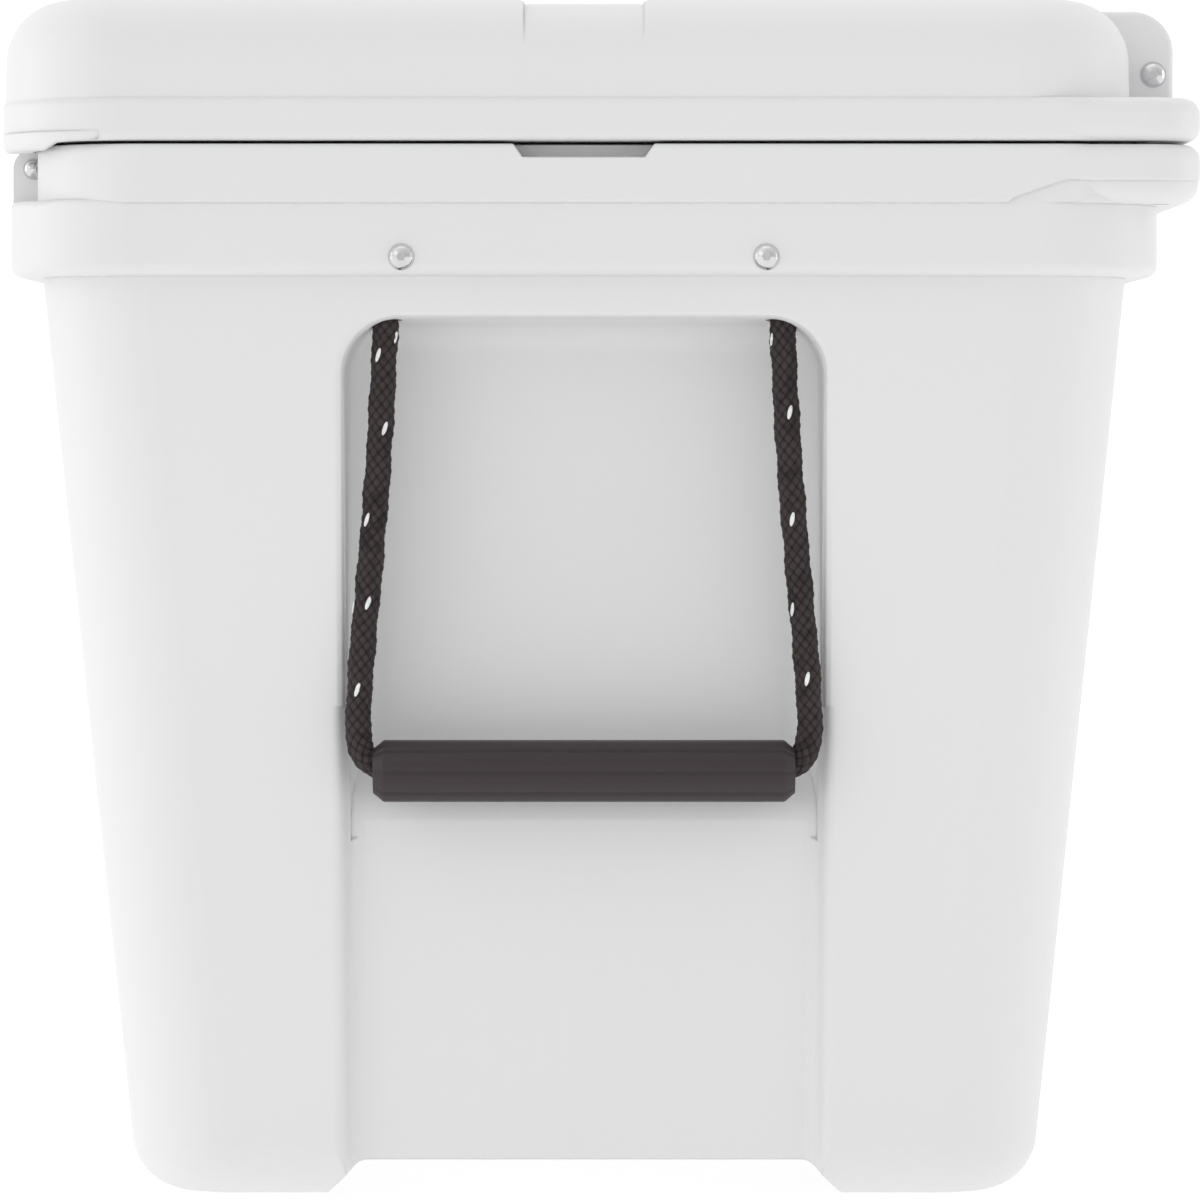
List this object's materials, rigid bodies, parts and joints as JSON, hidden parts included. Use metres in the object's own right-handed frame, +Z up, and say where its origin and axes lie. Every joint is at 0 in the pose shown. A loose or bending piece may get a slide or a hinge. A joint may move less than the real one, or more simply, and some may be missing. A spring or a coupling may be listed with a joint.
{
  "type": "cooler chest",
  "caption": "Rotomoulded hard cooler chest with a hinged lid, rubber T-latches, rope handles in end recesses and a drain plug.",
  "frame": {"origin": "on the floor, under the middle of the whole chest", "axes": "+Z up, X along the chest's length with the drain at +X, -Y towards the latches, +Y towards the hinge"},
  "size_m": [0.7788, 0.4942, 0.499],
  "materials": {
    "shell": "satin white polyethylene with a fine moulded grain",
    "foam": "pale yellow rigid foam",
    "seal": "matt light grey rubber",
    "latch_rubber": "matt black rubber",
    "pad_rubber": "matt light grey rubber",
    "rope": "dark brown braid with small white tracer flecks",
    "grip": "dark brown-grey moulded grip with lengthwise ribs",
    "steel": "polished stainless steel",
    "fitting": "white nylon"
  },
  "bodies": {
    "chest": {"body_shell": "shell", "body_foam": "foam", "hinge_rod_left": "steel", "hinge_rod_right": "steel", "rope_anchors_left": "fitting", "rope_anchors_right": "fitting", "rope_screws": "steel", "foot_pad_front_left": "pad_rubber", "foot_pad_front_right": "pad_rubber", "foot_pad_rear_left": "pad_rubber", "foot_pad_rear_right": "pad_rubber", "foot_screws": "steel", "drain_housing": "fitting", "drain_nut": "fitting"},
    "lid": {"lid_shell": "shell", "lid_foam": "foam", "lid_gasket": "seal", "latch_pin_left": "steel", "latch_pin_right": "steel", "latch_pin_screw_left": "steel", "latch_pin_screw_right": "steel"},
    "latch_left": {"latch_left": "latch_rubber"},
    "latch_right": {"latch_right": "latch_rubber"},
    "handle_left": {"handle_rope_left": "rope", "handle_grip_left": "grip"},
    "handle_right": {"handle_rope_right": "rope", "handle_grip_right": "grip"},
    "drain_washer": {"drain_washer": "seal"},
    "drain_plug": {"drain_plug": "fitting"}
  },
  "joints": [
    {"name": "lid_hinge", "type": "hinge", "parent": "chest", "child": "lid", "pos_m": [0, 0.236, 0.43], "axis": [-1, 0, 0], "range_deg": [0, 90], "deforming": ["latch_left", "latch_right"]},
    {"name": "latch_left_turn", "type": "hinge", "parent": "lid", "child": "latch_left", "pos_m": [-0.265, -0.2316, 0.47], "axis": [-1, 0, 0], "range_deg": [0, 140], "deforming": ["latch_left"]},
    {"name": "latch_right_turn", "type": "hinge", "parent": "lid", "child": "latch_right", "pos_m": [0.265, -0.2316, 0.47], "axis": [-1, 0, 0], "range_deg": [0, 140], "deforming": ["latch_right"]},
    {"name": "handle_left_swing", "type": "hinge", "parent": "chest", "child": "handle_left", "pos_m": [-0.362, 0.0066, 0.358], "axis": [0, 1, 0], "range_deg": [0, 90], "deforming": ["handle_rope_left"]},
    {"name": "handle_right_swing", "type": "hinge", "parent": "chest", "child": "handle_right", "pos_m": [0.362, 0.0066, 0.358], "axis": [0, -1, 0], "range_deg": [0, 90], "deforming": ["handle_rope_right"]},
    {"name": "drain_slide", "type": "slide", "parent": "chest", "child": "drain_washer", "axis": [1, 0, 0], "range_m": [0, 0.009]},
    {"name": "drain_turn", "type": "hinge", "parent": "drain_washer", "child": "drain_plug", "pos_m": [0.334, 0.0066, 0.09], "axis": [-1, 0, 0], "range_deg": [0, 1080]}
  ],
  "couplings": [
    {"joint": "drain_slide", "follows": "drain_turn", "m_per_rad": 0.00047746}
  ]
}
